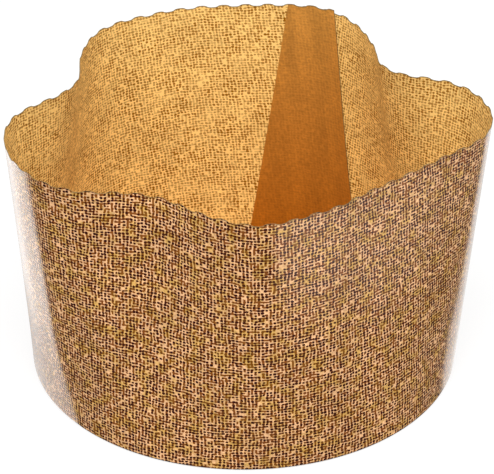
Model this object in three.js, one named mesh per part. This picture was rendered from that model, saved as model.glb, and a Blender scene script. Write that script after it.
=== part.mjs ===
// Paper mold for a tall panettone: one printed paper strip rolled into a round wall, lapped at its
// ends and folded in below, and a round paper base that lies on the fold.
// Millimetres, +Z up. Bearings are in degrees, anticlockwise from +X when seen from above.
import * as THREE from "three";

// Wall
const baseRadius = 85;
const wallHeight = 110;
const paperThickness = 0.25;

// The strip's glued ends: the lap is wide at the base and narrows as the rim spreads
const lapBearing = 72;
const lapWidthAtBase = 50;
const glueLine = 0.15;
const tuckRunOut = 10;
const endsOutOfTrue = 0.8;

// Scalloped top edge
const scallopPitch = 9.1;
const scallopDepth = 0.9;

// Lower edge, folded in under the base
const bendRadius = 1;
const hemWidth = 9;

// Base disc
const discThickness = 0.3;
const discSides = 96;
const seatClearance = 0.3;

// How far the rim leans out of the base circle, or into it where negative, at each bearing
const rimLeans = [
  [3, 9], // right lobe
  [14, 0.5],
  [26, -17], // deep dent at the back right
  [34, -19],
  [47, -9.5],
  [66, 5], // back lobe, from the lap round to the left
  [88, 2.5],
  [112, 2.5],
  [133, 1.5],
  [147, -7.5],
  [161, -16], // deep dent at the back left
  [170, -13],
  [184, 3.5],
  [205, 10], // left lobe
  [223, 4],
  [237, -9.5],
  [246, -11.5], // dent at the front left
  [260, -5],
  [272, 1], // front lobe
  [290, -3.5],
  [313, -8], // dent at the front right
  [335, -1],
  [350, 10],
];

// Fineness of the faceted surface
const columnsPerScallop = 4;
const wallBands = 6;
const rimLengthSteps = 1440;

const fullTurn = 360;
const toRadians = THREE.MathUtils.degToRad;

// A closed row's entry, with its bearing carried on past a full turn
function leanPoint(index) {
  const count = rimLeans.length;
  const turns = Math.floor(index / count);
  const [bearing, lean] = rimLeans[index - turns * count];
  return { bearing: bearing + turns * fullTurn, lean };
}

// Slope of the parabola through an entry and its two neighbours
function leanSlope(index) {
  const [before, here, after] = [leanPoint(index - 1), leanPoint(index), leanPoint(index + 1)];
  const back = here.bearing - before.bearing;
  const ahead = after.bearing - here.bearing;
  const slopeBack = (here.lean - before.lean) / back;
  const slopeAhead = (after.lean - here.lean) / ahead;
  return (ahead * slopeBack + back * slopeAhead) / (back + ahead);
}

// Smooth lean at any bearing: one cubic between each two entries, with the slopes above
function rimLean(bearing) {
  const wrapped = THREE.MathUtils.euclideanModulo(bearing, fullTurn);
  let index = -1;
  while (leanPoint(index + 1).bearing <= wrapped) {
    index += 1;
  }
  const from = leanPoint(index);
  const to = leanPoint(index + 1);
  const span = to.bearing - from.bearing;
  const t = (wrapped - from.bearing) / span;
  const rise = t * t * (3 - 2 * t);
  const slopeOut = t * (1 - t) * (1 - t) * span * leanSlope(index);
  const slopeIn = t * t * (t - 1) * span * leanSlope(index + 1);
  return from.lean + (to.lean - from.lean) * rise + slopeOut + slopeIn;
}

// Unit vector from the axis towards a bearing
function outward(bearing) {
  return new THREE.Vector3(Math.cos(toRadians(bearing)), Math.sin(toRadians(bearing)), 0);
}

// The rim's line seen from above, once round from the middle of the lap
class RimLine extends THREE.Curve {
  getPoint(turn, target = new THREE.Vector3()) {
    const bearing = lapBearing + turn * fullTurn;
    return target.copy(outward(bearing)).multiplyScalar(baseRadius + rimLean(bearing));
  }
}

const rimLine = new RimLine();
rimLine.arcLengthDivisions = rimLengthSteps;
const rimLength = rimLine.getLength();

// The strip is as long at its top edge as at its lower one, so the wider rim has the shorter lap
const baseLength = 2 * Math.PI * baseRadius;
const stripLength = baseLength + lapWidthAtBase;
const lapWidthAtRim = stripLength - rimLength;
const scallopCount = Math.round(stripLength / scallopPitch);
const columnCount = scallopCount * columnsPerScallop;

// Outer bend, roomy enough for both plies of the lap
const plyStep = paperThickness + glueLine;
const foldRadius = bendRadius + paperThickness + plyStep;

// How deep the paper's outer face lies inside the wall: the first end is tucked behind the last
function tuckDepth(along) {
  return plyStep * (1 - THREE.MathUtils.smoothstep(along, lapWidthAtBase, lapWidthAtBase + tuckRunOut));
}

// Height of the top edge: flat crests and hollows, joined by slopes
function topEdge(column) {
  const half = columnsPerScallop / 2;
  const side = column % columnsPerScallop < half ? 1 : -1;
  const drift = endsOutOfTrue * (0.5 - column / columnCount);
  return wallHeight + drift + (side * scallopDepth) / 2;
}

// Point of the base circle's cylinder, at a share of a turn from the middle of the lap
function basePoint(turn, radius, height) {
  return outward(lapBearing + turn * fullTurn).multiplyScalar(radius).setZ(height);
}

// Point of the rim's line moved in by a depth, at a share of its length from the middle of the lap
function rimPoint(turn, depth) {
  const along = rimLine.getUtoTmapping(THREE.MathUtils.euclideanModulo(turn, 1));
  const tangent = rimLine.getTangent(along);
  const facing = new THREE.Vector3(tangent.y, -tangent.x, 0);
  return rimLine.getPoint(along).addScaledVector(facing, -depth).setZ(wallHeight);
}

// Straight lines join the fold to the rim at equal shares of a turn, so both plies of the lap lie on
// one surface. The strip's columns drift across it, because they are equally far apart all the way up.
function wallPoint(along, reach, depth) {
  const turnAtBase = (along - lapWidthAtBase / 2) / baseLength;
  const turnAtRim = (along - lapWidthAtRim / 2) / rimLength;
  const turn = THREE.MathUtils.lerp(turnAtBase, turnAtRim, reach);
  return basePoint(turn, baseRadius - depth, foldRadius).lerp(rimPoint(turn, depth), reach);
}

// One face of the paper at a column, from the hem's free edge out, round the fold and up to the rim
function paperFace(column, depth) {
  const along = (stripLength * column) / columnCount;
  const turn = (along - lapWidthAtBase / 2) / baseLength;
  const foldStart = baseRadius - foldRadius;
  const bend = foldRadius - depth;
  const halfway = Math.SQRT1_2;
  const topReach = (topEdge(column) - foldRadius) / (wallHeight - foldRadius);
  const wall = Array.from({ length: wallBands + 1 }, (unused, band) =>
    wallPoint(along, (topReach * band) / wallBands, depth),
  );
  return [
    basePoint(turn, foldStart - hemWidth, depth),
    basePoint(turn, foldStart, depth),
    basePoint(turn, foldStart + bend * halfway, foldRadius - bend * halfway),
    ...wall,
  ];
}

// Closed section of the strip at a column: up its outer face and back down its inner one
function stripSection(column) {
  const tuck = tuckDepth((stripLength * column) / columnCount);
  const outerFace = paperFace(column, tuck);
  const innerFace = paperFace(column, tuck + paperThickness);
  return [...outerFace, ...innerFace.reverse()];
}

// Closed solid swept through a row of sections that all have the same number of points. The first
// half of a section is the paper's outer face and the second its inner one, and both are split
// along the same diagonal, so the paper is equally thick where it twists.
function loftedGeometry(sections) {
  const size = sections[0].length;
  const last = sections.length - 1;
  const index = [];
  const quad = (a, b, c, d) => index.push(a, b, c, a, c, d);
  for (let s = 0; s < last; s += 1) {
    for (let p = 0; p < size; p += 1) {
      const next = (p + 1) % size;
      const corners = [s * size + p, (s + 1) * size + p, (s + 1) * size + next, s * size + next];
      if (p >= size / 2) {
        corners.unshift(corners.pop());
      }
      quad(...corners);
    }
  }
  for (let p = 0; p < size / 2 - 1; p += 1) {
    const across = size - 1 - p;
    quad(p, p + 1, across - 1, across);
    quad(last * size + across, last * size + across - 1, last * size + p + 1, last * size + p);
  }
  const geometry = new THREE.BufferGeometry().setFromPoints(sections.flat());
  geometry.setIndex(index);
  geometry.computeVertexNormals();
  return geometry;
}

function sideWall() {
  const sections = Array.from({ length: columnCount + 1 }, (unused, column) => stripSection(column));
  const material = new THREE.MeshStandardMaterial({ color: 0xb98545, roughness: 0.35, metalness: 0 });
  const mesh = new THREE.Mesh(loftedGeometry(sections), material);
  mesh.name = "side_wall";
  return mesh;
}

// The disc reaches to where the fold begins, and lies on the lap's doubled hem
function baseDisc() {
  const radius = baseRadius - foldRadius;
  const geometry = new THREE.CylinderGeometry(radius, radius, discThickness, discSides);
  const material = new THREE.MeshStandardMaterial({ color: 0xc08a45, roughness: 0.6, metalness: 0 });
  const mesh = new THREE.Mesh(geometry, material);
  mesh.rotation.x = Math.PI / 2;
  mesh.position.z = paperThickness + plyStep + seatClearance + discThickness / 2;
  mesh.name = "base_disc";
  return mesh;
}

// The origin lies under the middle of the mold's box, on the plane that it stands on
function centredMold() {
  const mold = new THREE.Group();
  mold.add(sideWall(), baseDisc());
  const middle = new THREE.Box3().setFromObject(mold).getCenter(new THREE.Vector3());
  mold.position.set(-middle.x, -middle.y, 0);
  return mold;
}

const group = new THREE.Group();
group.add(centredMold());

export default group;
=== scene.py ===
"""Paper mold for a tall panettone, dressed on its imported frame.

One strip of coated paper with a woven-look print outside and a golden lining inside stands on its
folded-in lower edge, with a scalloped rim and a lapped, glued seam at the back right. A round base
of baking paper lies on the fold. Everything is in metres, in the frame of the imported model.
"""

import logging
import math
from dataclasses import dataclass
from enum import Enum
from typing import NamedTuple, Sequence, Union

import bpy
import numpy as np
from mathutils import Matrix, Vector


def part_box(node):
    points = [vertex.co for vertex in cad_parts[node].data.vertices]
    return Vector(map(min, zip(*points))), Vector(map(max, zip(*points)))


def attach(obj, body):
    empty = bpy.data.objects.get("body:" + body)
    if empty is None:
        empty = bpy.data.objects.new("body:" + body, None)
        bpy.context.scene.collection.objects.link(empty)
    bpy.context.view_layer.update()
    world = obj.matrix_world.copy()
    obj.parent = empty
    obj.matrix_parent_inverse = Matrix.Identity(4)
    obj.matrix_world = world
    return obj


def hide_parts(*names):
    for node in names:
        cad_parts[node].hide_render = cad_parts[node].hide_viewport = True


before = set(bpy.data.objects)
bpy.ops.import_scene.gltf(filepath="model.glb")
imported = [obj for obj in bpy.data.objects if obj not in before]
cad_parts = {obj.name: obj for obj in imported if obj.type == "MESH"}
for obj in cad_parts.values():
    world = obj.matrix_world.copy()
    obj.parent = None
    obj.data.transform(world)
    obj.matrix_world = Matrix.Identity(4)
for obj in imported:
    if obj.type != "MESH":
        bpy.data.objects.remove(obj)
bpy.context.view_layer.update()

log = logging.getLogger("panettone_mold")

MM = 0.001
FULL_TURN = 2 * math.pi
SHARP_ANGLE = math.radians(50)
STRIP_MAP = "strip"
EDGE_LAYER = "below_edge"

# Numbers of a Mix node's sockets when it mixes colours
MIX_FACTOR, MIX_BELOW, MIX_ABOVE, MIX_RESULT = 0, 6, 7, 2

Colour = tuple[int, int, int]
Socket = bpy.types.NodeSocket
Value = Union[float, Sequence[float], Socket]


class Face(Enum):
    """Which finish a face of the paper strip takes, as the index of its material slot."""

    PRINT = 0
    LINING = 1
    CUT = 2


class Blend(Enum):
    """How two colours are laid over one another."""

    NORMAL = "MIX"
    MULTIPLY = "MULTIPLY"


class Draw(Enum):
    """Which layer of random numbers each chance in the print is drawn from."""

    DOT = 1.0
    ACROSS = 2.0
    UPRIGHT = 3.0
    DOT_SIZE = 4.0
    DOT_INK = 5.0
    STRAY_ALONG = 6.0
    STRAY_UP = 7.0


class Ramp(NamedTuple):
    """Smooth change from low, at start and before it, to high, at end and past it."""

    start: float
    end: float
    low: float = 0.0
    high: float = 1.0


def srgb(red: int, green: int, blue: int) -> tuple[float, float, float, float]:
    """Linear colour from the 0 to 255 values that a screen shows.

    Args:
        red: Red value.
        green: Green value.
        blue: Blue value.

    Returns:
        Linear red, green, blue and an alpha of 1.
    """
    share = np.array([red, green, blue]) / 255
    linear = np.where(share <= 0.04045, share / 12.92, ((share + 0.055) / 1.055) ** 2.4)
    return (*linear.tolist(), 1.0)


def smooth_step(value: np.ndarray, start: float, end: float) -> np.ndarray:
    """Cubic rise 3t²-2t³ from 0 at start to 1 at end.

    Args:
        value: Where it is read.
        start: Value below which the result is 0.
        end: Value above which the result is 1.

    Returns:
        The rise at each value.
    """
    t = np.clip((value - start) / (end - start), 0, 1)
    return t * t * (3 - 2 * t)


def unit(angle: np.ndarray) -> np.ndarray:
    """Unit vectors at angles.

    Args:
        angle: Radians anticlockwise from +X.

    Returns:
        One x and y, cosine and sine, for each angle.
    """
    return np.stack([np.cos(angle), np.sin(angle)], axis=-1)


class NodeGraph:
    """Nodes of one material or world. An input is a number, a colour or another node's output."""

    def __init__(self, owner: Union[bpy.types.Material, bpy.types.World]) -> None:
        """Starts with no nodes.

        Args:
            owner: The material or world that the nodes belong to.
        """
        owner.use_nodes = True
        self.owner = owner
        self.tree = owner.node_tree
        self.tree.nodes.clear()

    def node(
        self, kind: str, inputs: dict[Union[str, int], Value], **settings: object
    ) -> bpy.types.Node:
        """Adds a node, sets its options and feeds its inputs.

        Args:
            kind: Node type without its ShaderNode prefix.
            inputs: Value or output for each input, by name or number.
            settings: Options of the node itself.

        Returns:
            The new node.
        """
        made = self.tree.nodes.new("ShaderNode" + kind)
        for name, setting in settings.items():
            setattr(made, name, setting)
        for key, value in inputs.items():
            if isinstance(value, bpy.types.NodeSocket):
                self.tree.links.new(value, made.inputs[key])
            else:
                made.inputs[key].default_value = value
        return made

    def math(self, operation: str, *values: Value) -> Socket:
        """One step of arithmetic.

        Args:
            operation: The Math node's operation.
            values: What it works on.

        Returns:
            The result.
        """
        return self.node("Math", dict(enumerate(values)), operation=operation).outputs[0]

    def product(self, first: Value, *others: Value) -> Value:
        """All of the values multiplied.

        Args:
            first: First value.
            others: What it is multiplied by.

        Returns:
            The product.
        """
        for other in others:
            first = self.math("MULTIPLY", first, other)
        return first

    def vector(self, x: Value, y: Value, z: Value = 0.0) -> Socket:
        """Joins three numbers.

        Args:
            x: First number.
            y: Second number.
            z: Third number.

        Returns:
            The vector.
        """
        return self.node("CombineXYZ", {0: x, 1: y, 2: z}).outputs[0]

    def split(self, vector: Socket) -> tuple[Socket, Socket, Socket]:
        """Parts a vector.

        Args:
            vector: The vector.

        Returns:
            Its three numbers.
        """
        return tuple(self.node("SeparateXYZ", {0: vector}).outputs)

    def strip(self) -> Socket:
        """Place on the paper strip in metres: along it and up it."""
        return self.node("UVMap", {}, uv_map=STRIP_MAP).outputs[0]

    def place(self) -> Socket:
        """Place in the object's own space."""
        return self.node("TexCoord", {}).outputs["Object"]

    def ramp(self, value: Value, ramp: Ramp) -> Socket:
        """Smooth change as a value rises or falls.

        Args:
            value: What is read.
            ramp: The change.

        Returns:
            The changed value.
        """
        inputs = dict(enumerate((value, *ramp)))
        return self.node("MapRange", inputs, interpolation_type="SMOOTHSTEP").outputs[0]

    def noise(
        self, vector: Socket, scale: float, detail: float = 2.0, roughness: float = 0.5
    ) -> Socket:
        """Cloudy noise from 0 to 1.

        Args:
            vector: Where it is read.
            scale: Clouds to the metre.
            detail: Number of finer layers.
            roughness: How much each finer layer adds.

        Returns:
            The noise value.
        """
        inputs = {"Vector": vector, "Scale": scale, "Detail": detail, "Roughness": roughness}
        return self.node("TexNoise", inputs).outputs[0]

    def chance(self, x: Socket, y: Socket, layer: Draw) -> Socket:
        """Random number that stays the same over each whole x and y.

        Args:
            x: Column on the grid.
            y: Row on the grid.
            layer: What is drawn.

        Returns:
            The number, from 0 to 1.
        """
        inputs = {"Vector": self.vector(x, y, layer.value)}
        return self.node("TexWhiteNoise", inputs, noise_dimensions="3D").outputs[0]

    def occurs(self, x: Socket, y: Socket, layer: Draw, share: float) -> Socket:
        """Whether something stands at a whole x and y.

        Args:
            x: Column on the grid.
            y: Row on the grid.
            layer: What is drawn.
            share: How much of the grid has it.

        Returns:
            1 where it stands and 0 elsewhere.
        """
        return self.math("LESS_THAN", self.chance(x, y, layer), share)

    def colour(
        self, factor: Value, below: Value, above: Value, blend: Blend = Blend.NORMAL
    ) -> Socket:
        """Colour between two colours.

        Args:
            factor: How much of the upper colour is laid on, from 0 to 1.
            below: Lower colour.
            above: Upper colour.
            blend: How it is laid on.

        Returns:
            The mixed colour.
        """
        inputs = {MIX_FACTOR: factor, MIX_BELOW: below, MIX_ABOVE: above}
        made = self.node("Mix", inputs, data_type="RGBA", blend_type=blend.value)
        return made.outputs[MIX_RESULT]

    def shaded(self, colour: Value, shade: Socket) -> Socket:
        """Colour made lighter or darker.

        Args:
            colour: The colour.
            shade: What its red, green and blue are multiplied by.

        Returns:
            The shaded colour.
        """
        return self.colour(1.0, colour, self.vector(shade, shade, shade), Blend.MULTIPLY)

    def bump(self, height: Socket, strength: float, distance: float) -> Socket:
        """Relief of a surface.

        Args:
            height: Height from 0 to 1.
            strength: How much of the relief is used.
            distance: Its full depth in metres.

        Returns:
            The surface's normal.
        """
        inputs = {"Height": height, "Strength": strength, "Distance": distance}
        return self.node("Bump", inputs).outputs[0]

    def surface(self, inputs: dict[str, Value]) -> bpy.types.Material:
        """Closes the material with a Principled shader.

        Args:
            inputs: Value or output for each of the shader's inputs.

        Returns:
            The finished material.
        """
        shader = self.node("BsdfPrincipled", inputs)
        self.node("OutputMaterial", {"Surface": shader.outputs[0]})
        return self.owner


def new_graph(name: str) -> NodeGraph:
    """Starts a material.

    Args:
        name: The material's name.

    Returns:
        Its nodes, none so far.
    """
    return NodeGraph(bpy.data.materials.new(name))


@dataclass(frozen=True)
class Clouds:
    """Cloudy noise, with its middle values spread over a ramp."""

    scale: float
    detail: float = 2.0
    roughness: float = 0.5
    spread: Ramp = Ramp(0.3, 0.7)

    def draw(self, graph: NodeGraph, place: Socket) -> Socket:
        """Writes the clouds.

        Args:
            graph: The material that they go in.
            place: Where they are read, in metres.

        Returns:
            Their value.
        """
        grain = graph.noise(place, self.scale, self.detail, self.roughness)
        return graph.ramp(grain, self.spread)


@dataclass(frozen=True)
class FibreRelief:
    """Fine relief of the paper's fibres."""

    scale: float
    strength: float
    detail: float = 3.0
    depth: float = 0.06 * MM

    def normal(self, graph: NodeGraph, place: Socket) -> Socket:
        """Writes the relief.

        Args:
            graph: The material that it goes in.
            place: Where it is read, in metres.

        Returns:
            The surface's normal.
        """
        return graph.bump(graph.noise(place, self.scale, self.detail), self.strength, self.depth)


@dataclass(frozen=True)
class CrushedRim:
    """Paper crushed at the cut rim: most at the edge, gone about half a millimetre below it."""

    colour: Colour = (118, 100, 62)
    strength: Ramp = Ramp(0.12 * MM, 0.55 * MM, 0.85, 0.0)

    def lay(self, graph: NodeGraph, paper: Socket) -> Socket:
        """Lays the crushed rim over a colour.

        Args:
            graph: The material that it goes in.
            paper: Colour of the sound paper.

        Returns:
            The colour with the rim on it.
        """
        below_edge = graph.node("Attribute", {}, attribute_name=EDGE_LAYER).outputs["Fac"]
        return graph.colour(graph.ramp(below_edge, self.strength), paper, srgb(*self.colour))


@dataclass(frozen=True)
class WovenMarks:
    """Printed dots on a grid, some joined to the next one by a paler bar, all of it by chance.

    Sizes of a mark are shares of the grid's pitch.
    """

    pitch_along: float = 1.42 * MM
    pitch_up: float = 1.2 * MM
    wander: float = 0.55
    wander_scale: float = 170.0
    wander_detail: float = 1.0
    wander_apart: tuple[float, float, float] = (3.1, 7.7, 0.0)
    dot_chance: float = 0.9
    dot_radius: float = 0.31
    radius_spread: float = 0.14
    dot_edge: Ramp = Ramp(-0.05, 0.07, 1.0, 0.0)
    dot_ink: Ramp = Ramp(0.0, 0.6, 0.6, 1.0)
    scatter: float = 0.3
    across_chance: float = 0.26
    across_edge: Ramp = Ramp(0.2, 0.4, 1.0, 0.0)
    up_chance: float = 0.4
    up_edge: Ramp = Ramp(0.2, 0.38, 1.0, 0.0)
    bar_strength: float = 0.55

    def draw(self, graph: NodeGraph, strip: Socket) -> Socket:
        """Writes the marks.

        Args:
            graph: The material that they go in.
            strip: Place on the strip in metres: along it and up it.

        Returns:
            How much ink there is: 0 between marks, about a half in a bar and up to 1 in a dot.
        """
        along, up, _ = graph.split(strip)
        apart = graph.node("VectorMath", {0: strip, 1: self.wander_apart}, operation="ADD")
        a = self.pitches(graph, along, self.pitch_along, strip)
        u = self.pitches(graph, up, self.pitch_up, apart.outputs[0])
        near_a, near_u = graph.math("ROUND", a), graph.math("ROUND", u)
        off_a, off_u = graph.math("SUBTRACT", a, near_a), graph.math("SUBTRACT", u, near_u)
        dot = self.dot(graph, (near_a, near_u), (off_a, off_u))
        across = graph.product(
            graph.ramp(graph.math("ABSOLUTE", off_u), self.across_edge),
            graph.occurs(graph.math("FLOOR", a), near_u, Draw.ACROSS, self.across_chance),
        )
        upright = graph.product(
            graph.ramp(graph.math("ABSOLUTE", off_a), self.up_edge),
            graph.occurs(near_a, graph.math("FLOOR", u), Draw.UPRIGHT, self.up_chance),
        )
        bars = graph.product(graph.math("MAXIMUM", across, upright), self.bar_strength)
        return graph.math("MAXIMUM", dot, bars)

    def pitches(self, graph: NodeGraph, distance: Socket, pitch: float, place: Socket) -> Socket:
        """A distance counted in pitches of the grid, which wanders a little.

        Args:
            graph: The material that it goes in.
            distance: Metres along the strip or up it.
            pitch: Metres from one crossing to the next.
            place: Where the wandering is read.

        Returns:
            The count.
        """
        noise = graph.noise(place, self.wander_scale, self.wander_detail)
        shift = graph.product(graph.math("SUBTRACT", noise, 0.5), self.wander * 2)
        return graph.math("ADD", graph.math("DIVIDE", distance, pitch), shift)

    def dot(
        self, graph: NodeGraph, crossing: tuple[Socket, Socket], off: tuple[Socket, Socket]
    ) -> Socket:
        """A dot by its crossing, of its own size, place and ink.

        Args:
            graph: The material that it goes in.
            crossing: Column and row of the nearest crossing.
            off: How far the place lies from it, in pitches.

        Returns:
            Ink of the dot, from 0 to 1.
        """
        x = graph.math("SUBTRACT", off[0], self.stray(graph, crossing, Draw.STRAY_ALONG))
        y = graph.math("SUBTRACT", off[1], self.stray(graph, crossing, Draw.STRAY_UP))
        squares = graph.math("ADD", graph.math("POWER", x, 2.0), graph.math("POWER", y, 2.0))
        size = graph.chance(*crossing, Draw.DOT_SIZE)
        radius = graph.math("MULTIPLY_ADD", size, self.radius_spread, self.dot_radius)
        past = graph.math("SUBTRACT", graph.math("SQRT", squares), radius)
        return graph.product(
            graph.ramp(past, self.dot_edge),
            graph.occurs(*crossing, Draw.DOT, self.dot_chance),
            graph.ramp(graph.chance(*crossing, Draw.DOT_INK), self.dot_ink),
        )

    def stray(self, graph: NodeGraph, crossing: tuple[Socket, Socket], layer: Draw) -> Socket:
        """How far a dot lies off its crossing.

        Args:
            graph: The material that it goes in.
            crossing: Column and row of the crossing.
            layer: What is drawn.

        Returns:
            Share of the pitch.
        """
        drawn = graph.math("SUBTRACT", graph.chance(*crossing, layer), 0.5)
        return graph.product(drawn, self.scatter)


@dataclass(frozen=True)
class PrintedFinish:
    """Glossy coated paper, tan with ochre patches under dark woven-look marks."""

    tan: Colour = (236, 184, 134)
    ochre: Colour = (208, 162, 76)
    brown: Colour = (126, 68, 16)
    olive: Colour = (126, 78, 6)
    ink: Colour = (48, 4, 0)
    olive_ink: Colour = (64, 24, 0)
    patches: Clouds = Clouds(185.0, roughness=0.6, spread=Ramp(0.4, 0.68, 0.0, 0.85))
    clouds: Clouds = Clouds(60.0, detail=3.0, spread=Ramp(0.3, 0.7, 0.9, 1.06))
    flecks: Clouds = Clouds(900.0, detail=1.0, spread=Ramp(0.3, 0.7, 0.72, 1.08))
    thin_ink: Ramp = Ramp(0.0, 0.5)
    full_ink: Ramp = Ramp(0.5, 1.0)
    fibres: FibreRelief = FibreRelief(1500.0, 0.25)
    marks: WovenMarks = WovenMarks()
    rim: CrushedRim = CrushedRim()

    def material(self) -> bpy.types.Material:
        """The finish as a material on the strip's own map."""
        graph = new_graph("woven_print")
        strip = graph.strip()
        patch = self.patches.draw(graph, strip)
        mark = self.marks.draw(graph, strip)
        shade = graph.product(self.clouds.draw(graph, strip), self.flecks.draw(graph, strip))
        ground = graph.colour(patch, srgb(*self.tan), srgb(*self.ochre))
        ground = self.rim.lay(graph, graph.shaded(ground, shade))
        thin = graph.colour(patch, srgb(*self.brown), srgb(*self.olive))
        full = graph.colour(patch, srgb(*self.ink), srgb(*self.olive_ink))
        colour = graph.colour(graph.ramp(mark, self.thin_ink), ground, thin)
        return graph.surface(
            {
                "Base Color": graph.colour(graph.ramp(mark, self.full_ink), colour, full),
                "Roughness": 0.5,
                "Specular IOR Level": 0.0,
                "Coat Weight": 1.0,
                "Coat IOR": 1.5,
                "Coat Roughness": 0.17,
                "Normal": self.fibres.normal(graph, strip),
            }
        )


@dataclass(frozen=True)
class LiningFinish:
    """Golden inside of the paper, lightened by painted light for the light shining through it, and
    darker with painted shade where it is doubled in the lap, darker still towards the lap's bottom.

    The print shows through it faintly, and more faintly still in the lap.
    """

    # Golden lining colour, lightened as painted light for the light shining through the paper
    gold: Colour = (252, 212, 130)
    ghost: Colour = (146, 92, 0)
    # Painted shade: the doubled lap lets less light through, so it is darker than the single paper,
    # and darker towards the bottom
    shaded_lap_top: Colour = (194, 136, 60)
    shaded_lap_low: Colour = (168, 96, 12)
    show_through: Ramp = Ramp(0.2, 0.95)
    lap_show_through: Ramp = Ramp(0.2, 0.95, 1.03, 0.85)
    clouds: Clouds = Clouds(70.0, 4.0, 0.6, Ramp(0.3, 0.7, 0.92, 1.05))
    patches: Clouds = Clouds(90.0, 3.0, 0.6, Ramp(0.4, 0.62, 1.0, 0.75))
    lap_grain: Clouds = Clouds(620.0, 3.0, 0.7, Ramp(0.3, 0.7, 0.84, 1.1))
    lap_streaks: Clouds = Clouds(130.0, spread=Ramp(0.3, 0.7, 0.9, 1.1))
    streak_scale: tuple[float, float, float] = (1.0, 0.12, 1.0)
    lap_edge: Ramp = Ramp(-0.15 * MM, 0.15 * MM, 1.0, 0.0)
    fibres: FibreRelief = FibreRelief(1300.0, 0.3)
    marks: WovenMarks = WovenMarks()
    rim: CrushedRim = CrushedRim()

    def material(
        self, lap_at_base: float, lap_at_rim: float, height: float
    ) -> bpy.types.Material:
        """The finish as a material on the strip's own map.

        Args:
            lap_at_base: Width of the doubled paper at the base.
            lap_at_rim: Width of the doubled paper at the rim.
            height: Height of the wall.

        Returns:
            The material.
        """
        graph = new_graph("golden_lining")
        strip = graph.strip()
        along, up, _ = graph.split(strip)
        mark = self.marks.draw(graph, strip)
        rise = graph.math("DIVIDE", up, height)
        ghost = graph.product(
            graph.ramp(mark, self.show_through), self.patches.draw(graph, strip)
        )
        single = graph.colour(ghost, srgb(*self.gold), srgb(*self.ghost))
        stretched = graph.node("Mapping", {"Vector": strip, "Scale": self.streak_scale})
        shade = graph.product(
            self.lap_grain.draw(graph, strip),
            self.lap_streaks.draw(graph, stretched.outputs[0]),
            graph.ramp(mark, self.lap_show_through),
        )
        # Painted shade of the doubled lap, darker towards the bottom
        double = graph.colour(rise, srgb(*self.shaded_lap_low), srgb(*self.shaded_lap_top))
        width = graph.math("MULTIPLY_ADD", rise, lap_at_rim - lap_at_base, lap_at_base)
        in_lap = graph.ramp(graph.math("SUBTRACT", along, width), self.lap_edge)
        colour = graph.colour(in_lap, single, graph.shaded(double, shade))
        colour = graph.shaded(colour, self.clouds.draw(graph, strip))
        return graph.surface(
            {
                "Base Color": self.rim.lay(graph, colour),
                "Roughness": 0.55,
                "Specular IOR Level": 0.15,
                "Normal": self.fibres.normal(graph, strip),
            }
        )


@dataclass(frozen=True)
class CutFinish:
    """Bare, slightly crushed fibres along the strip's cut edges."""

    fibre: Colour = (126, 106, 66)
    shade: Colour = (96, 80, 46)
    grain: Clouds = Clouds(900.0, detail=3.0, spread=Ramp(0.35, 0.65))

    def material(self) -> bpy.types.Material:
        """The finish as a material on the strip's own map."""
        graph = new_graph("cut_paper_edge")
        grain = self.grain.draw(graph, graph.strip())
        colour = graph.colour(grain, srgb(*self.fibre), srgb(*self.shade))
        return graph.surface({"Base Color": colour, "Roughness": 0.8})


@dataclass(frozen=True)
class BakingPaperFinish:
    """Matt golden-brown baking paper with cloudy pulp and short fibres."""

    brown: Colour = (196, 142, 72)
    deep: Colour = (168, 112, 48)
    pale: Colour = (222, 172, 104)
    pulp: Clouds = Clouds(160.0, detail=5.0, roughness=0.65)
    fibres: Clouds = Clouds(420.0, 3.0, 0.6, Ramp(0.55, 0.72, 0.0, 0.5))
    fibre_scale: tuple[float, float, float] = (1.0, 7.0, 1.0)
    fibre_turn: tuple[float, float, float] = (0.0, 0.0, 0.5)
    relief_strength: float = 0.35
    relief_depth: float = 0.1 * MM

    def material(self) -> bpy.types.Material:
        """The finish as a material on object coordinates."""
        graph = new_graph("baking_paper")
        place = graph.place()
        laid = {"Vector": place, "Scale": self.fibre_scale, "Rotation": self.fibre_turn}
        pulp = self.pulp.draw(graph, place)
        fibres = self.fibres.draw(graph, graph.node("Mapping", laid).outputs[0])
        colour = graph.colour(pulp, srgb(*self.brown), srgb(*self.deep))
        relief = graph.math("ADD", pulp, fibres)
        return graph.surface(
            {
                "Base Color": graph.colour(fibres, colour, srgb(*self.pale)),
                "Roughness": 0.62,
                "Specular IOR Level": 0.35,
                "Normal": graph.bump(relief, self.relief_strength, self.relief_depth),
            }
        )


def new_piece(
    name: str,
    points: np.ndarray,
    faces: list[tuple[int, ...]],
    materials: Sequence[bpy.types.Material],
) -> bpy.types.Object:
    """A mesh object at the origin, with its place in its mesh.

    Args:
        name: The piece's name.
        points: One row of x, y and z for each point.
        faces: Point numbers of each face.
        materials: Finishes in the order of the faces' indices.

    Returns:
        The linked object.
    """
    mesh = bpy.data.meshes.new(name)
    mesh.from_pydata(points.tolist(), [], faces)
    for material in materials:
        mesh.materials.append(material)
    mesh.shade_smooth()
    mesh.set_sharp_from_angle(angle=SHARP_ANGLE)
    made = bpy.data.objects.new(name, mesh)
    bpy.context.collection.objects.link(made)
    return made


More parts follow.
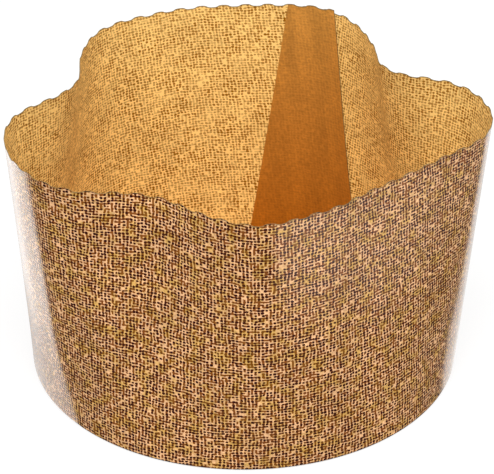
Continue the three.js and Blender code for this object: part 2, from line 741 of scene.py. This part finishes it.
@dataclass(frozen=True)
class WallForm:
    """The wall's surface: straight lines from the round fold up to a wavy rim.

    They join equal shares of a turn. The rim's leans are in millimetres, each at a bearing in
    degrees.
    """

    axis: tuple[float, float]
    base_radius: float = 85 * MM
    height: float = 110 * MM
    fold_radius: float = 1.65 * MM
    lap_bearing: float = 72.0
    rim_steps: int = 5760
    slope_step: float = 0.05
    rim_leans: tuple[tuple[float, float], ...] = (
        (3, 9), (14, 0.5), (26, -17), (34, -19), (47, -9.5), (66, 5), (88, 2.5), (112, 2.5),
        (133, 1.5), (147, -7.5), (161, -16), (170, -13), (184, 3.5), (205, 10), (223, 4),
        (237, -9.5), (246, -11.5), (260, -5), (272, 1), (290, -3.5), (313, -8), (335, -1),
        (350, 10),
    )

    def lean(self, bearing: np.ndarray) -> np.ndarray:
        """How far the rim leans out at each bearing, in metres.

        A cubic runs between each two entries of rim_leans. Its slope at an entry is that of the
        parabola through the entry and its two neighbours.

        Args:
            bearing: Degrees anticlockwise from +X.

        Returns:
            Lean at each bearing, negative where the rim leans in.
        """
        at, lean = np.array(self.rim_leans, dtype=float).T
        back = (at - np.roll(at, 1)) % 360
        ahead = (np.roll(at, -1) - at) % 360
        slope_back = (lean - np.roll(lean, 1)) / back
        slope_ahead = (np.roll(lean, -1) - lean) / ahead
        slope = (ahead * slope_back + back * slope_ahead) / (back + ahead)
        wrapped = np.mod(bearing, 360)
        low = np.searchsorted(at, wrapped, side="right") - 1
        high = (low + 1) % len(at)
        span = ahead[low]
        t = np.mod(wrapped - at[low], 360) / span
        rise = t * t * (3 - 2 * t)
        slopes = t * (1 - t) ** 2 * span * slope[low] + t * t * (t - 1) * span * slope[high]
        return (lean[low] + (lean[high] - lean[low]) * rise + slopes) * MM

    def rim_table(self) -> tuple[np.ndarray, np.ndarray]:
        """Bearings once round from the middle of the lap, and the rim's length up to each."""
        bearing = self.lap_bearing + np.linspace(0, 360, self.rim_steps + 1)
        radius = self.base_radius + self.lean(bearing)
        line = radius[:, None] * unit(np.radians(bearing))
        steps = np.linalg.norm(np.diff(line, axis=0), axis=-1)
        return bearing, np.concatenate(([0.0], np.cumsum(steps)))

    @property
    def base_length(self) -> float:
        """Once round the base."""
        return FULL_TURN * self.base_radius

    @property
    def rim_length(self) -> float:
        """Once round the rim."""
        return float(self.rim_table()[1][-1])

    def points(self, turn: np.ndarray, reach: np.ndarray, depth: np.ndarray) -> np.ndarray:
        """Points of the wall: (1-reach) of the fold's point plus reach of the rim's.

        Both are moved in by the depth, the fold's towards the axis and the rim's square to it.

        Args:
            turn: Share of a turn from the middle of the lap.
            reach: 0 at the top of the fold and 1 at the rim's level.
            depth: How far inside the wall's outer face.

        Returns:
            One x, y and z for each turn.
        """
        bearing, length = self.rim_table()
        low = np.radians(self.lap_bearing + 360 * turn)
        foot = (self.base_radius - depth)[..., None] * unit(low)
        there = np.interp(np.mod(turn, 1), length / length[-1], bearing)
        angle = np.radians(there)
        radius = self.base_radius + self.lean(there)
        ahead, behind = self.lean(there + self.slope_step), self.lean(there - self.slope_step)
        growth = (ahead - behind) / math.radians(2 * self.slope_step)
        out, side = unit(angle), unit(angle + math.pi / 2)
        facing = radius[..., None] * out - growth[..., None] * side
        facing /= np.linalg.norm(facing, axis=-1, keepdims=True)
        top = radius[..., None] * out - depth[..., None] * facing
        flat = foot * (1 - reach)[..., None] + top * reach[..., None]
        level = self.fold_radius + (self.height - self.fold_radius) * reach
        return np.concatenate([flat + np.array(self.axis), level[..., None]], axis=-1)

    def fold_points(self, turn: np.ndarray, radius: np.ndarray, level: np.ndarray) -> np.ndarray:
        """Points below the wall, on circles about the base's axis.

        Args:
            turn: Share of a turn from the middle of the lap.
            radius: Distance from the axis.
            level: Height above the plane that the mold stands on.

        Returns:
            One x, y and z for each turn.
        """
        flat = radius[:, None] * unit(np.radians(self.lap_bearing + 360 * turn))
        return np.concatenate([flat + np.array(self.axis), level[:, None]], axis=-1)


@dataclass
class SideWall:
    """The paper strip: wall, scalloped rim, lapped ends and pleated hem, as one closed sheet."""

    form: WallForm
    paper: float = 0.25 * MM
    ply_step: float = 0.4 * MM
    lap_at_base: float = 50 * MM
    tuck_run_out: float = 10 * MM
    ends_out_of_true: float = 0.8 * MM
    scallops: int = 64
    scallop_depth: float = 0.9 * MM
    first_crest: float = 1.14 * MM
    scallop_hardness: float = 2.0
    hem_width: float = 9 * MM
    pleats: int = 132
    pleat_height: float = 0.14 * MM
    pleat_rise: float = 0.85
    pleat_fade: float = 0.7
    cockle: float = 0.11 * MM
    cockle_waves: tuple[int, ...] = (5, 9, 14, 19, 24, 31)
    cockle_sizes: tuple[float, float] = (0.5, 1.0)
    cockle_slant: float = 1.2
    cockle_arch: float = 2.4
    seed: int = 11
    columns_per_scallop: int = 12
    hem_rows: int = 5
    bend_rows: int = 6
    wall_rows: int = 28

    @property
    def strip_length(self) -> float:
        """Length of the whole strip, both laps in it."""
        return self.form.base_length + self.lap_at_base

    @property
    def lap_at_rim(self) -> float:
        """Width of the lap at the rim, narrower because the rim is longer than the base."""
        return self.strip_length - self.form.rim_length

    def top_edge(self, along: np.ndarray) -> np.ndarray:
        """Level of the cut edge.

        It is a cosine squared up by tanh into flat crests and hollows, on a line slightly out of
        true.

        Args:
            along: Metres along the strip.

        Returns:
            Level at each place.
        """
        waves = (along - self.first_crest) / (self.strip_length / self.scallops)
        wave = np.tanh(self.scallop_hardness * np.cos(FULL_TURN * waves))
        drift = self.ends_out_of_true * (0.5 - along / self.strip_length)
        crest = wave / math.tanh(self.scallop_hardness) * self.scallop_depth / 2
        return self.form.height + drift + crest

    def undulation(self, turn: np.ndarray, reach: np.ndarray) -> np.ndarray:
        """Soft cockling of the paper, as a sum of sines round the wall that slant a little.

        It is nothing at the fold and most about two thirds of the way up.

        Args:
            turn: Share of a turn from the middle of the lap.
            reach: 0 at the top of the fold and 1 at the rim's level.

        Returns:
            How far the paper lies outside the wall's own surface.
        """
        rng = np.random.default_rng(self.seed)
        total = np.zeros_like(turn)
        for waves in self.cockle_waves:
            phase = rng.uniform(0, FULL_TURN)
            slant = rng.uniform(-self.cockle_slant, self.cockle_slant) * reach * 2
            total += rng.uniform(*self.cockle_sizes) * np.sin(
                FULL_TURN * waves * turn + phase + slant
            )
        return self.cockle * total * np.sin(np.clip(reach, 0, 1) * self.cockle_arch)

    def face(self, inner: bool) -> tuple[np.ndarray, np.ndarray]:
        """One face of the paper, from the hem's free edge out, round the fold and up to the rim.

        The hem is flat but for its pleats, a saw-tooth in the bearing that grows towards the free
        edge. The fold is a quarter circle. The wall's columns are straight across the paper, so
        they drift over the wall's own lines where base and rim differ in length.

        Args:
            inner: True for the lining's side, False for the printed one.

        Returns:
            Points as columns by rows by 3, and their places on the strip as columns by rows by 2.
        """
        form = self.form
        wall_height = form.height - form.fold_radius
        along = np.linspace(0, self.strip_length, self.scallops * self.columns_per_scallop + 1)
        untucked = smooth_step(along, self.lap_at_base, self.lap_at_base + self.tuck_run_out)
        depth = self.ply_step * (1 - untucked) + (self.paper if inner else 0.0)
        turn_low = (along - self.lap_at_base / 2) / form.base_length
        turn_top = (along - self.lap_at_rim / 2) / form.rim_length
        start = form.base_radius - form.fold_radius
        pleat = np.mod(turn_low * self.pleats, 1.0)
        tooth = np.minimum(pleat / self.pleat_rise, (1 - pleat) / (1 - self.pleat_rise))
        rows, places = [], []
        for share in np.linspace(0, 1, self.hem_rows, endpoint=False):
            lift = self.pleat_height * tooth * (1 - share) ** self.pleat_fade
            place = np.full_like(along, -self.hem_width * (1 - share))
            rows.append(form.fold_points(turn_low, start + place, depth + lift))
            places.append(place)
        bend = form.fold_radius - depth
        for angle in np.linspace(0, math.pi / 2, self.bend_rows, endpoint=False):
            level = form.fold_radius - bend * math.cos(angle)
            rows.append(form.fold_points(turn_low, start + bend * math.sin(angle), level))
            places.append(np.full_like(along, form.fold_radius * angle / (math.pi / 2)))
        top = (self.top_edge(along) - form.fold_radius) / wall_height
        for share in np.linspace(0, 1, self.wall_rows):
            reach = top * share
            turn = turn_low * (1 - reach) + turn_top * reach
            rows.append(form.points(turn, reach, depth - self.undulation(turn, reach)))
            places.append(form.fold_radius + wall_height * reach)
        up = np.stack(places, axis=1)
        strip = np.stack([np.broadcast_to(along[:, None], up.shape), up], axis=-1)
        return np.stack(rows, axis=1), strip

    def build(self, finishes: Sequence[bpy.types.Material]) -> bpy.types.Object:
        """Lofts both faces into one closed sheet with its cut edges and ends.

        Args:
            finishes: Materials in the order of Face.

        Returns:
            The piece.
        """
        outer, outer_places = self.face(inner=False)
        inner, inner_places = self.face(inner=True)
        section = np.concatenate([outer, inner[:, ::-1]], axis=1)
        places = np.concatenate([outer_places, inner_places[:, ::-1]], axis=1)
        columns, size = section.shape[:2]
        half = size // 2
        s, p = np.meshgrid(np.arange(columns - 1), np.arange(size), indexing="ij")
        here, after = s * size + p, s * size + (p + 1) % size
        quads = np.stack([here, here + size, after + size, after], axis=-1)
        lining = np.where((p >= half) & (p < size - 1), Face.LINING.value, Face.CUT.value)
        side = np.where(p < half - 1, Face.PRINT.value, lining)
        q = np.arange(half - 1)
        across = size - 1 - q
        first = np.stack([q, q + 1, across - 1, across], axis=-1)
        last = (columns - 1) * size + first[:, ::-1]
        faces = np.concatenate([quads.reshape(-1, 4), first, last])
        kinds = np.concatenate([side.ravel(), np.full(2 * len(q), Face.CUT.value)])
        made = new_piece("paper_wall", section.reshape(-1, 3), faces.tolist(), finishes)
        made.data.polygons.foreach_set("material_index", kinds.astype(np.int32))
        self.write_places(made.data, places)
        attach(made, "root")
        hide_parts("side_wall")
        return made

    def write_places(self, mesh: bpy.types.Mesh, places: np.ndarray) -> None:
        """Writes each point's place on the strip, and how far it lies below the cut edge.

        Args:
            mesh: The strip's mesh.
            places: Metres along the strip and up it, as columns by points by 2.
        """
        corner = np.empty(len(mesh.loops), dtype=np.int32)
        mesh.loops.foreach_get("vertex_index", corner)
        layer = mesh.uv_layers.new(name=STRIP_MAP)
        at_corners = places.reshape(-1, 2)[corner].astype(np.float32)
        layer.uv.foreach_set("vector", at_corners.ravel())
        edge = self.top_edge(np.linspace(0, self.strip_length, len(places)))
        below = (edge[:, None] - places[..., 1]).astype(np.float32)
        mesh.attributes.new(EDGE_LAYER, "FLOAT", "POINT").data.foreach_set("value", below.ravel())


@dataclass
class BaseDisc:
    """Round paper base on the hem, with the hem's free edge showing through as a faint ring.

    Each of its waves has a size, waves in a turn, radians from the middle out and a phase.
    """

    axis: tuple[float, float]
    radius: float
    bottom: float
    thickness: float = 0.3 * MM
    edge_round: float = 0.1 * MM
    hem_edge: float = 74.35 * MM
    sag: float = 0.28 * MM
    sag_run: float = 5 * MM
    cockle: float = 0.05 * MM
    waves: tuple[tuple[float, float, float, float], ...] = (
        (1.0, 3, 6, 0), (0.7, 5, -9, 1), (0.5, 0, 11, 2),
    )
    bearings: int = 240
    rings: int = 60

    def height(self, radius: np.ndarray, angle: np.ndarray) -> np.ndarray:
        """Level of the underside: flat on the hem, and sagging by a smooth step inside its edge.

        Slow waves, sines of the angle and the radius, are added to the sag.

        Args:
            radius: Distance from the axis.
            angle: Radians anticlockwise from +X.

        Returns:
            Level at each place.
        """
        inside = 1 - smooth_step(radius, self.hem_edge - self.sag_run, self.hem_edge)
        share = radius / self.radius
        total = sum(
            size * np.sin(round_it * angle + outward * share + phase)
            for size, round_it, outward, phase in self.waves
        )
        return self.bottom - inside * (self.sag + self.cockle * total * share)

    def build(self, finish: bpy.types.Material) -> bpy.types.Object:
        """Two polar sheets, joined by a rounded edge and closed at their middles.

        Args:
            finish: The paper's material.

        Returns:
            The piece.
        """
        m = self.bearings
        angle = np.linspace(0, FULL_TURN, m, endpoint=False)
        radius = self.radius * np.linspace(0, 1, self.rings + 1)[1:]
        r, a = np.meshgrid(radius, angle, indexing="ij")
        low = self.height(r, a)
        upper = np.stack([r, a, low + self.thickness], axis=-1)
        lower = np.stack([r, a, low], axis=-1)
        rim_radius = np.full_like(angle, self.radius + self.edge_round)
        rim = np.stack([rim_radius, angle, low[-1] + self.thickness / 2], axis=-1)
        polar = np.concatenate([upper, rim[None], lower[::-1]])
        n = len(polar)
        flat = polar[..., :1] * unit(polar[..., 1]) + np.array(self.axis)
        ring_points = np.concatenate([flat, polar[..., 2:]], axis=-1).reshape(-1, 3)
        middle = float(self.height(np.zeros(1), np.zeros(1))[0])
        poles = np.array([[*self.axis, middle + self.thickness], [*self.axis, middle]])
        i, j = np.meshgrid(np.arange(n - 1), np.arange(m), indexing="ij")
        here, beside = i * m + j, i * m + (j + 1) % m
        quads = np.stack([here, here + m, beside + m, beside], axis=-1).reshape(-1, 4)
        j = np.arange(m)
        after = (j + 1) % m
        last = (n - 1) * m
        top = np.stack([np.full(m, n * m), j, after], axis=-1)
        under = np.stack([np.full(m, n * m + 1), last + after, last + j], axis=-1)
        faces = quads.tolist() + top.tolist() + under.tolist()
        points = np.concatenate([ring_points, poles])
        made = new_piece("base_paper_disc", points, faces, [finish])
        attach(made, "root")
        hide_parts("base_disc")
        return made


@dataclass(frozen=True)
class Glare:
    """A part of the floor that is bright in gloss, bounded by bearings from a point of its own.

    The point is given from the base's axis. The ramps are read at the bearing in degrees and
    multiplied.
    """

    offset: tuple[float, float]
    ramps: tuple[Ramp, ...]

    def level(self, graph: NodeGraph, from_axis: Socket, shift: Value = 0.0) -> Socket:
        """Brightness of the part.

        Args:
            graph: The floor's material.
            from_axis: Place on the floor, from the base's axis.
            shift: Degrees taken off the bearing.

        Returns:
            The brightness at the place.
        """
        x, y, _ = graph.split(from_axis)
        x = graph.math("SUBTRACT", x, self.offset[0])
        y = graph.math("SUBTRACT", y, self.offset[1])
        bearing = graph.math("DEGREES", graph.math("ARCTAN2", y, x))
        at = graph.math("SUBTRACT", bearing, shift)
        return graph.product(*(graph.ramp(at, ramp) for ramp in self.ramps))


@dataclass(frozen=True)
class Softbox:
    """A soft square lamp that looks at the middle of the object.

    Its bearing is in degrees anticlockwise from the camera's side, seen from above.
    """

    name: str
    bearing: float
    elevation: float
    distance: float
    side: float
    power: float
    target: tuple[float, float, float] = (0.0, 0.0, 55 * MM)

    def build(self) -> None:
        """Makes the lamp."""
        data = bpy.data.lights.new(self.name, "AREA")
        data.shape = "SQUARE"
        data.size = self.side
        data.energy = self.power
        made = bpy.data.objects.new(self.name, data)
        turn, rise = math.radians(self.bearing - 90), math.radians(self.elevation)
        away = np.array([*(unit(np.array(turn)) * math.cos(rise)), math.sin(rise)])
        made.location = (away * self.distance + np.array(self.target)).tolist()
        made.rotation_euler = (math.pi / 2 - rise, 0.0, turn + math.pi / 2)
        made.visible_camera = False
        bpy.context.collection.objects.link(made)


@dataclass(frozen=True)
class Studio:
    """White surroundings, a pale floor that keeps the shadow, and soft lamps."""

    axis: tuple[float, float]
    base_radius: float
    ambient: float = 0.67
    floor_size: float = 8.0
    floor_tone: float = 0.6
    camera_level: float = 1.22
    shadow_share: float = 0.35
    glossy_level: float = 0.15
    left_glare: Glare = Glare(
        (-0.05, -0.06), (Ramp(96, 146, 0.42, 2.9), Ramp(150, 156, 1.0, 0.0), Ramp(90, 96))
    )
    right_glare: Glare = Glare(
        (0.05, -0.06), (Ramp(84, 48, 0.6, 1.25), Ramp(41, 47), Ramp(84, 90, 1.0, 0.0))
    )
    front_sheen: Glare = Glare((0.0, 0.0), (Ramp(-72, -58), Ramp(-48, 10, 1.1, 0.165)))
    front_reach: Ramp = Ramp(0.16, 0.24)
    left_shift: float = 9.0
    left_shift_reach: float = 0.04
    # Painted shadow of the object in the floor's gloss: the left glare's level next to the base,
    # and how far out it fades
    left_gloss_shadow: float = 0.62
    left_gloss_shadow_reach: float = 0.06
    lamps: tuple[Softbox, ...] = (
        Softbox("key_softbox", -10, 58, 1.5, 1.3, 26),
        Softbox("side_softbox", 60, 50, 1.8, 1.2, 8),
    )

    def world(self) -> None:
        """Even white light, seen as white where a ray looks straight at it or in a gloss."""
        graph = NodeGraph(bpy.data.worlds.new("studio"))
        path = graph.node("LightPath", {})
        seen = graph.math("MAXIMUM", path.outputs["Is Camera Ray"], path.outputs["Is Glossy Ray"])
        level = graph.ramp(seen, Ramp(0.0, 1.0, self.ambient, 1.0))
        light = graph.node("Background", {"Strength": level})
        graph.node("OutputWorld", {"Surface": light.outputs[0]})
        bpy.context.scene.world = graph.owner

    def floor(self) -> None:
        """A wide pale sheet under the object, white to the camera but for the object's shadow.

        In glossy paper it is dim, with brighter parts: behind the object on its left and right, and
        at its front right. A painted shadow of the object dims the left part near the base.
        """
        graph = new_graph("studio_floor")
        path = graph.node("LightPath", {})
        camera, glossy = path.outputs["Is Camera Ray"], path.outputs["Is Glossy Ray"]
        axis = (*self.axis, 0.0)
        from_axis = graph.node("VectorMath", {0: graph.place(), 1: axis}, operation="SUBTRACT")
        from_axis = from_axis.outputs[0]
        distance = graph.node("VectorMath", {0: from_axis}, operation="LENGTH").outputs["Value"]
        near = self.base_radius
        shift = graph.ramp(distance, Ramp(near, near + self.left_shift_reach, self.left_shift, 0.0))
        # Painted shadow of the object, dimming the left glare near the base
        dim = graph.ramp(distance, Ramp(near, near + self.left_gloss_shadow_reach, self.left_gloss_shadow))
        left = graph.product(self.left_glare.level(graph, from_axis, shift), dim)
        right = self.right_glare.level(graph, from_axis)
        front = graph.ramp(distance, self.front_reach)
        front = graph.product(self.front_sheen.level(graph, from_axis), front)
        level = graph.math("ADD", graph.math("ADD", self.glossy_level, front), left)
        level = graph.product(glossy, graph.math("ADD", level, right))
        level = graph.math("MULTIPLY_ADD", camera, self.camera_level, level)
        tone = (self.floor_tone, self.floor_tone, self.floor_tone, 1.0)
        matt = graph.node("BsdfDiffuse", {"Color": tone})
        glow = graph.node("Emission", {"Strength": level})
        share = graph.math("MULTIPLY_ADD", camera, 1 - self.shadow_share, glossy)
        mixed = graph.node("MixShader", {0: share, 1: matt.outputs[0], 2: glow.outputs[0]})
        graph.node("OutputMaterial", {"Surface": mixed.outputs[0]})
        corners = np.array([[-1, -1, 0], [1, -1, 0], [1, 1, 0], [-1, 1, 0]]) * self.floor_size / 2
        made = new_piece("studio_floor", corners, [(0, 1, 2, 3)], [graph.owner])

    def build(self) -> None:
        """Sets the world, the floor and the lamps."""
        self.world()
        self.floor()
        for lamp in self.lamps:
            lamp.build()


@dataclass(frozen=True)
class Viewpoint:
    """The camera at the photograph's place, given from the base's axis."""

    axis: tuple[float, float]
    offset: tuple[float, float, float] = (1.226 * MM, -1009.635 * MM, 673.97 * MM)
    pitch: float = 58.38
    lens: float = 218.6
    sensor_width: float = 36.0
    clip: tuple[float, float] = (0.05, 30.0)

    def build(self) -> None:
        """Makes the camera and gives it to the scene."""
        data = bpy.data.cameras.new("view")
        data.sensor_width = self.sensor_width
        data.lens = self.lens
        data.clip_start, data.clip_end = self.clip
        made = bpy.data.objects.new("view", data)
        made.location = (np.array(self.offset) + np.array([*self.axis, 0.0])).tolist()
        made.rotation_euler = (math.radians(self.pitch), 0.0, 0.0)
        bpy.context.collection.objects.link(made)
        bpy.context.scene.camera = made


def main() -> None:
    """Builds the mold, its surroundings and the view, in order."""
    logging.basicConfig(level=logging.INFO, format="%(name)s: %(message)s")
    bpy.context.scene.view_settings.view_transform = "Standard"
    low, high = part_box("base_disc")
    axis = ((low[0] + high[0]) / 2, (low[1] + high[1]) / 2)
    Viewpoint(axis).build()
    wall = SideWall(WallForm(axis))
    finishes = [
        PrintedFinish().material(),
        LiningFinish().material(wall.lap_at_base, wall.lap_at_rim, wall.form.height),
        CutFinish().material(),
    ]
    piece = wall.build(finishes)
    strip, lap = wall.strip_length / MM, wall.lap_at_rim / MM
    log.info("%s: strip %.1f mm, lap %.1f mm at the rim", piece.name, strip, lap)
    disc = BaseDisc(axis, (high[0] - low[0]) / 2, low[2])
    piece = disc.build(BakingPaperFinish().material())
    log.info("%s: radius %.1f mm", piece.name, disc.radius / MM)
    Studio(axis, wall.form.base_radius).build()
    log.info("studio: floor, world and lamps")


if __name__ == "__main__":
    main()
